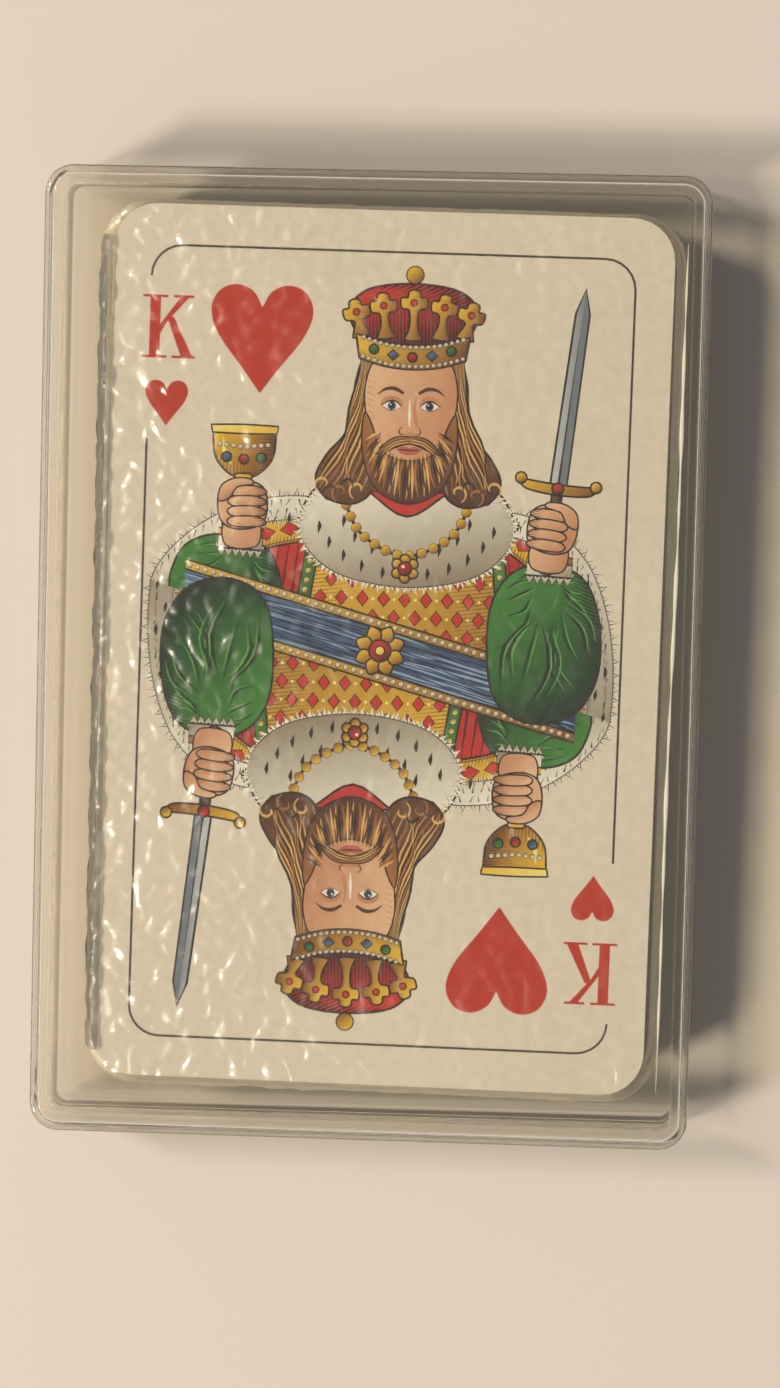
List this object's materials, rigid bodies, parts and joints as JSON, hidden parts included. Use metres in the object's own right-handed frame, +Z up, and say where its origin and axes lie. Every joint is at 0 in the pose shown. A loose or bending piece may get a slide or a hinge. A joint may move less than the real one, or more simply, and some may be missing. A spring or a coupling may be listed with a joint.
{
  "type": "playing card deck in a clear case",
  "caption": "Deck of French-suited playing cards sealed in crinkled clear film, lying in a slim clear plastic case with a slip-over lid.",
  "frame": {"origin": "centre of the case's underside, on the surface that it lies on", "axes": "+Z up through the lid, +Y along the cards towards the upright end of the top card, +X across them to the right"},
  "size_m": [0.0688, 0.1008, 0.0117],
  "materials": {
    "case_plastic": "gloss",
    "film": "gloss",
    "card_stock": "satin"
  },
  "bodies": {
    "tray": {"tray": "case_plastic"},
    "pack": {"wrap_lower": "film", "ace_of_clubs": "card_stock"},
    "seven_of_clubs": {"seven_of_clubs": "card_stock"},
    "eight_of_clubs": {"eight_of_clubs": "card_stock"},
    "nine_of_clubs": {"nine_of_clubs": "card_stock"},
    "ten_of_clubs": {"ten_of_clubs": "card_stock"},
    "jack_of_clubs": {"jack_of_clubs": "card_stock"},
    "queen_of_clubs": {"queen_of_clubs": "card_stock"},
    "king_of_clubs": {"king_of_clubs": "card_stock"},
    "ace_of_spades": {"ace_of_spades": "card_stock"},
    "seven_of_spades": {"seven_of_spades": "card_stock"},
    "eight_of_spades": {"eight_of_spades": "card_stock"},
    "nine_of_spades": {"nine_of_spades": "card_stock"},
    "ten_of_spades": {"ten_of_spades": "card_stock"},
    "jack_of_spades": {"jack_of_spades": "card_stock"},
    "queen_of_spades": {"queen_of_spades": "card_stock"},
    "king_of_spades": {"king_of_spades": "card_stock"},
    "ace_of_diamonds": {"ace_of_diamonds": "card_stock"},
    "seven_of_diamonds": {"seven_of_diamonds": "card_stock"},
    "eight_of_diamonds": {"eight_of_diamonds": "card_stock"},
    "nine_of_diamonds": {"nine_of_diamonds": "card_stock"},
    "ten_of_diamonds": {"ten_of_diamonds": "card_stock"},
    "jack_of_diamonds": {"jack_of_diamonds": "card_stock"},
    "queen_of_diamonds": {"queen_of_diamonds": "card_stock"},
    "king_of_diamonds": {"king_of_diamonds": "card_stock"},
    "ace_of_hearts": {"ace_of_hearts": "card_stock"},
    "seven_of_hearts": {"seven_of_hearts": "card_stock"},
    "eight_of_hearts": {"eight_of_hearts": "card_stock"},
    "nine_of_hearts": {"nine_of_hearts": "card_stock"},
    "ten_of_hearts": {"ten_of_hearts": "card_stock"},
    "jack_of_hearts": {"jack_of_hearts": "card_stock"},
    "queen_of_hearts": {"queen_of_hearts": "card_stock"},
    "king_of_hearts": {"king_of_hearts": "card_stock"},
    "wrap_upper": {"wrap_upper": "film"},
    "lid": {"lid": "case_plastic"}
  },
  "joints": [
    {"name": "lid_lift", "type": "slide", "parent": "wrap_upper", "child": "lid", "axis": [0, 0, 1], "range_m": [0, 0.01]},
    {"name": "film_lift", "type": "slide", "parent": "king_of_hearts", "child": "wrap_upper", "axis": [0, 0, 1], "range_m": [0, 0.01]},
    {"name": "pack_lift", "type": "slide", "parent": "tray", "child": "pack", "axis": [0, 0, 1], "range_m": [0, 0.01]},
    {"name": "draw_top_card", "type": "slide", "parent": "queen_of_hearts", "child": "king_of_hearts", "axis": [0, 0, 1], "range_m": [0, 0.01]},
    {"name": "deck_spread", "type": "slide", "parent": "pack", "child": "queen_of_hearts", "axis": [0, 0, 1], "range_m": [0, 0.06]},
    {"name": "spread_seven_of_clubs", "type": "slide", "parent": "pack", "child": "seven_of_clubs", "axis": [0, 0, 1], "range_m": [0, 0.00201]},
    {"name": "spread_eight_of_clubs", "type": "slide", "parent": "pack", "child": "eight_of_clubs", "axis": [0, 0, 1], "range_m": [0, 0.00401]},
    {"name": "spread_nine_of_clubs", "type": "slide", "parent": "pack", "child": "nine_of_clubs", "axis": [0, 0, 1], "range_m": [0, 0.00601]},
    {"name": "spread_ten_of_clubs", "type": "slide", "parent": "pack", "child": "ten_of_clubs", "axis": [0, 0, 1], "range_m": [0, 0.00801]},
    {"name": "spread_jack_of_clubs", "type": "slide", "parent": "pack", "child": "jack_of_clubs", "axis": [0, 0, 1], "range_m": [0, 0.01001]},
    {"name": "spread_queen_of_clubs", "type": "slide", "parent": "pack", "child": "queen_of_clubs", "axis": [0, 0, 1], "range_m": [0, 0.01201]},
    {"name": "spread_king_of_clubs", "type": "slide", "parent": "pack", "child": "king_of_clubs", "axis": [0, 0, 1], "range_m": [0, 0.01401]},
    {"name": "spread_ace_of_spades", "type": "slide", "parent": "pack", "child": "ace_of_spades", "axis": [0, 0, 1], "range_m": [0, 0.01601]},
    {"name": "spread_seven_of_spades", "type": "slide", "parent": "pack", "child": "seven_of_spades", "axis": [0, 0, 1], "range_m": [0, 0.01801]},
    {"name": "spread_eight_of_spades", "type": "slide", "parent": "pack", "child": "eight_of_spades", "axis": [0, 0, 1], "range_m": [0, 0.02001]},
    {"name": "spread_nine_of_spades", "type": "slide", "parent": "pack", "child": "nine_of_spades", "axis": [0, 0, 1], "range_m": [0, 0.02201]},
    {"name": "spread_ten_of_spades", "type": "slide", "parent": "pack", "child": "ten_of_spades", "axis": [0, 0, 1], "range_m": [0, 0.02401]},
    {"name": "spread_jack_of_spades", "type": "slide", "parent": "pack", "child": "jack_of_spades", "axis": [0, 0, 1], "range_m": [0, 0.02601]},
    {"name": "spread_queen_of_spades", "type": "slide", "parent": "pack", "child": "queen_of_spades", "axis": [0, 0, 1], "range_m": [0, 0.02801]},
    {"name": "spread_king_of_spades", "type": "slide", "parent": "pack", "child": "king_of_spades", "axis": [0, 0, 1], "range_m": [0, 0.03001]},
    {"name": "spread_ace_of_diamonds", "type": "slide", "parent": "pack", "child": "ace_of_diamonds", "axis": [0, 0, 1], "range_m": [0, 0.03201]},
    {"name": "spread_seven_of_diamonds", "type": "slide", "parent": "pack", "child": "seven_of_diamonds", "axis": [0, 0, 1], "range_m": [0, 0.03401]},
    {"name": "spread_eight_of_diamonds", "type": "slide", "parent": "pack", "child": "eight_of_diamonds", "axis": [0, 0, 1], "range_m": [0, 0.03601]},
    {"name": "spread_nine_of_diamonds", "type": "slide", "parent": "pack", "child": "nine_of_diamonds", "axis": [0, 0, 1], "range_m": [0, 0.03801]},
    {"name": "spread_ten_of_diamonds", "type": "slide", "parent": "pack", "child": "ten_of_diamonds", "axis": [0, 0, 1], "range_m": [0, 0.04001]},
    {"name": "spread_jack_of_diamonds", "type": "slide", "parent": "pack", "child": "jack_of_diamonds", "axis": [0, 0, 1], "range_m": [0, 0.04201]},
    {"name": "spread_queen_of_diamonds", "type": "slide", "parent": "pack", "child": "queen_of_diamonds", "axis": [0, 0, 1], "range_m": [0, 0.04401]},
    {"name": "spread_king_of_diamonds", "type": "slide", "parent": "pack", "child": "king_of_diamonds", "axis": [0, 0, 1], "range_m": [0, 0.04601]},
    {"name": "spread_ace_of_hearts", "type": "slide", "parent": "pack", "child": "ace_of_hearts", "axis": [0, 0, 1], "range_m": [0, 0.04801]},
    {"name": "spread_seven_of_hearts", "type": "slide", "parent": "pack", "child": "seven_of_hearts", "axis": [0, 0, 1], "range_m": [0, 0.05001]},
    {"name": "spread_eight_of_hearts", "type": "slide", "parent": "pack", "child": "eight_of_hearts", "axis": [0, 0, 1], "range_m": [0, 0.05201]},
    {"name": "spread_nine_of_hearts", "type": "slide", "parent": "pack", "child": "nine_of_hearts", "axis": [0, 0, 1], "range_m": [0, 0.05401]},
    {"name": "spread_ten_of_hearts", "type": "slide", "parent": "pack", "child": "ten_of_hearts", "axis": [0, 0, 1], "range_m": [0, 0.05601]},
    {"name": "spread_jack_of_hearts", "type": "slide", "parent": "pack", "child": "jack_of_hearts", "axis": [0, 0, 1], "range_m": [0, 0.05801]}
  ],
  "couplings": [
    {"joint": "spread_seven_of_clubs", "follows": "deck_spread", "ratio": 0.033333},
    {"joint": "spread_eight_of_clubs", "follows": "deck_spread", "ratio": 0.066667},
    {"joint": "spread_nine_of_clubs", "follows": "deck_spread", "ratio": 0.1},
    {"joint": "spread_ten_of_clubs", "follows": "deck_spread", "ratio": 0.13333},
    {"joint": "spread_jack_of_clubs", "follows": "deck_spread", "ratio": 0.16667},
    {"joint": "spread_queen_of_clubs", "follows": "deck_spread", "ratio": 0.2},
    {"joint": "spread_king_of_clubs", "follows": "deck_spread", "ratio": 0.23333},
    {"joint": "spread_ace_of_spades", "follows": "deck_spread", "ratio": 0.26667},
    {"joint": "spread_seven_of_spades", "follows": "deck_spread", "ratio": 0.3},
    {"joint": "spread_eight_of_spades", "follows": "deck_spread", "ratio": 0.33333},
    {"joint": "spread_nine_of_spades", "follows": "deck_spread", "ratio": 0.36667},
    {"joint": "spread_ten_of_spades", "follows": "deck_spread", "ratio": 0.4},
    {"joint": "spread_jack_of_spades", "follows": "deck_spread", "ratio": 0.43333},
    {"joint": "spread_queen_of_spades", "follows": "deck_spread", "ratio": 0.46667},
    {"joint": "spread_king_of_spades", "follows": "deck_spread", "ratio": 0.5},
    {"joint": "spread_ace_of_diamonds", "follows": "deck_spread", "ratio": 0.53333},
    {"joint": "spread_seven_of_diamonds", "follows": "deck_spread", "ratio": 0.56667},
    {"joint": "spread_eight_of_diamonds", "follows": "deck_spread", "ratio": 0.6},
    {"joint": "spread_nine_of_diamonds", "follows": "deck_spread", "ratio": 0.63333},
    {"joint": "spread_ten_of_diamonds", "follows": "deck_spread", "ratio": 0.66667},
    {"joint": "spread_jack_of_diamonds", "follows": "deck_spread", "ratio": 0.7},
    {"joint": "spread_queen_of_diamonds", "follows": "deck_spread", "ratio": 0.73333},
    {"joint": "spread_king_of_diamonds", "follows": "deck_spread", "ratio": 0.76667},
    {"joint": "spread_ace_of_hearts", "follows": "deck_spread", "ratio": 0.8},
    {"joint": "spread_seven_of_hearts", "follows": "deck_spread", "ratio": 0.83333},
    {"joint": "spread_eight_of_hearts", "follows": "deck_spread", "ratio": 0.86667},
    {"joint": "spread_nine_of_hearts", "follows": "deck_spread", "ratio": 0.9},
    {"joint": "spread_ten_of_hearts", "follows": "deck_spread", "ratio": 0.93333},
    {"joint": "spread_jack_of_hearts", "follows": "deck_spread", "ratio": 0.96667}
  ]
}
